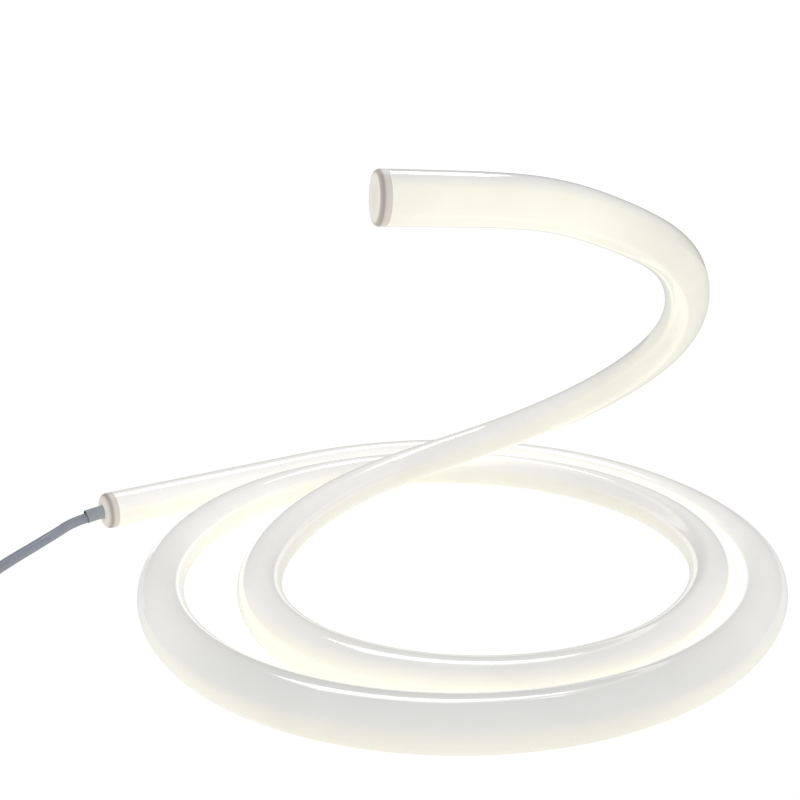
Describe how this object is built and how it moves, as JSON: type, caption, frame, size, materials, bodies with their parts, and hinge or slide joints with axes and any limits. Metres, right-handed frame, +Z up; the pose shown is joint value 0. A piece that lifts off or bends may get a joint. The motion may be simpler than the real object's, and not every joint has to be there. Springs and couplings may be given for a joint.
{
  "type": "flexible led strip",
  "caption": "Round milky silicone LED light tube, coiled in flat laps with its free end raised, with end caps, a grey lead and a low-voltage barrel plug.",
  "frame": {"origin": "middle of the light tube's own outline, seen from above, on the surface that its laps lie on", "axes": "+Z up; -Y is the front of the laps, above which the raised free end lies; +X to the right, away from the lead"},
  "size_m": [0.5017, 0.3751, 0.2106],
  "materials": {
    "milky_silicone": "milky translucent extruded silicone, glossy, lit from inside",
    "led_core": "warm white LED board in a soft silicone filling, lit",
    "cap_silicone": "matt moulded white silicone",
    "sleeve_rubber": "satin grey rubber",
    "cord_jacket": "satin bluish grey PVC cable jacket",
    "plug_plastic": "matt moulded dark grey plastic",
    "nickel_plate": "nickel-plated brass"
  },
  "bodies": {
    "root": {"diffuser_tube": "milky_silicone", "led_core": "led_core", "end_cap_cable": "cap_silicone", "end_cap_free": "cap_silicone", "cable_sleeve": "sleeve_rubber", "power_cord": "cord_jacket", "cord_coil": "cord_jacket", "cord_tail": "cord_jacket", "plug_body": "plug_plastic", "plug_barrel": "nickel_plate"}
  },
  "joints": []
}
